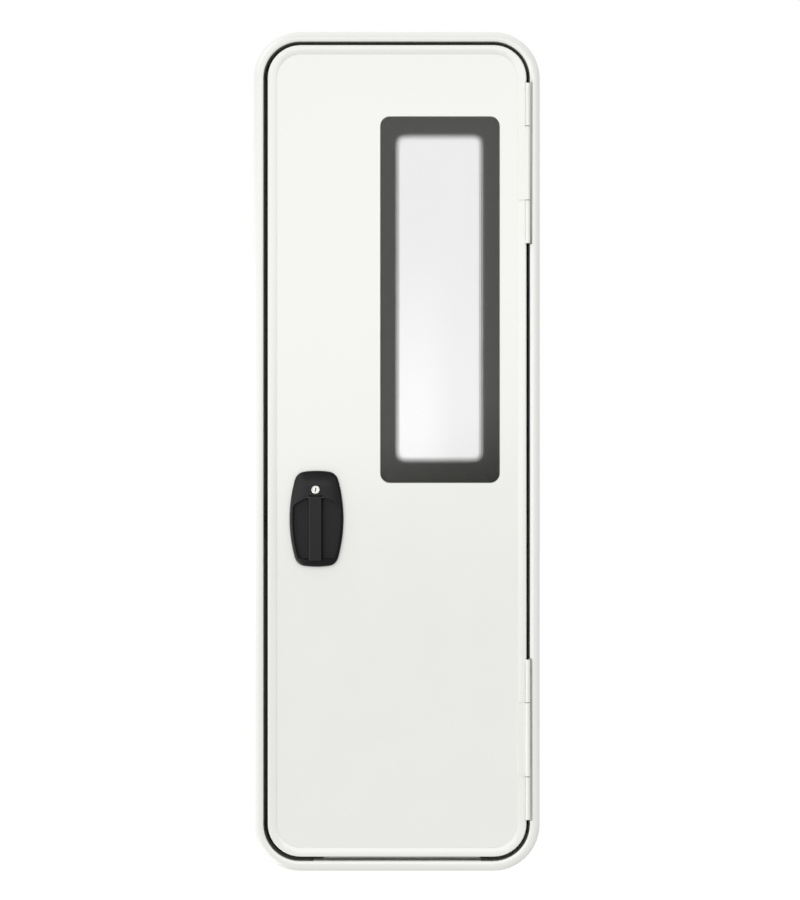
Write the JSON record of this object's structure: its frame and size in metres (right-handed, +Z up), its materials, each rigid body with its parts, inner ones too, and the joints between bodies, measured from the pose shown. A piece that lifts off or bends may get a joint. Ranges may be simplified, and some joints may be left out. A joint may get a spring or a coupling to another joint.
{
  "type": "caravan entry door",
  "caption": "One-piece caravan entry door: white insulated leaf with a long flush window, recessed pull handle and key lock, on two long hinges in a flanged wall frame.",
  "frame": {"origin": "middle of the flange's bottom edge, on the back of the flange, which is the wall's outer skin", "axes": "+Z up the door, +Y into the caravan, +X to the hinge side as seen from outside"},
  "size_m": [0.614, 0.066, 1.8],
  "materials": {
    "white_powder_coat": "powder-coated, satin",
    "black_rubber": "matt",
    "mill_aluminium": "mill finish",
    "white_grp": "smooth, satin gloss",
    "foam": "cut foam",
    "steel": "zinc-plated",
    "black_steel": "zinc-plated, passivated black",
    "clear_acrylic": "clear",
    "dark_print": "printed",
    "black_plastic": "fine moulded grain",
    "nickel": "satin nickel",
    "grey_plastic": "moulded"
  },
  "bodies": {
    "frame": {"outer_frame": "white_powder_coat", "frame_reveal": "white_powder_coat", "inner_clamp_frame": "white_powder_coat", "door_seal": "black_rubber", "sill_strip": "mill_aluminium", "upper_hinge_frame_wing": "white_powder_coat", "upper_hinge_pin": "steel", "upper_hinge_washers": "black_plastic", "lower_hinge_frame_wing": "white_powder_coat", "lower_hinge_pin": "steel", "lower_hinge_washers": "black_plastic", "striker_plate": "black_steel", "striker_pin": "black_steel"},
    "leaf": {"leaf_edge_profile": "white_powder_coat", "outer_skin": "white_grp", "foam_core": "foam", "inner_skin": "white_grp", "window_outer_pane": "clear_acrylic", "window_border_print": "dark_print", "window_spacer": "black_plastic", "window_inner_pane": "clear_acrylic", "window_inner_trim": "grey_plastic", "handle_plate": "black_plastic", "grip_pivot_pin": "steel", "lock_barrel": "nickel", "latch_case": "steel", "latch_faceplate": "black_steel", "latch_claw": "steel", "claw_pivot_pin": "steel", "inner_handle_plate": "grey_plastic", "inner_handle_lever": "black_plastic", "upper_hinge_door_wing": "white_powder_coat", "lower_hinge_door_wing": "white_powder_coat"},
    "grip": {"pull_grip": "black_plastic"},
    "plug": {"lock_plug": "nickel"}
  },
  "joints": [
    {"name": "door_swing", "type": "hinge", "parent": "frame", "child": "leaf", "pos_m": [0.281, -0.0105, 0.9], "axis": [0, 0, 1], "range_deg": [0, 170]},
    {"name": "grip_pull", "type": "hinge", "parent": "leaf", "child": "grip", "pos_m": [-0.1738, -0.0136, 0.8018], "axis": [-1, 0, 0], "range_deg": [0, 14], "stiffness_Nm_per_rad": 0.6, "springref_deg": -5.73},
    {"name": "key_turn", "type": "hinge", "parent": "leaf", "child": "plug", "pos_m": [-0.1735, -0.01, 0.818], "axis": [0, 1, 0], "range_deg": [0, 90]}
  ]
}
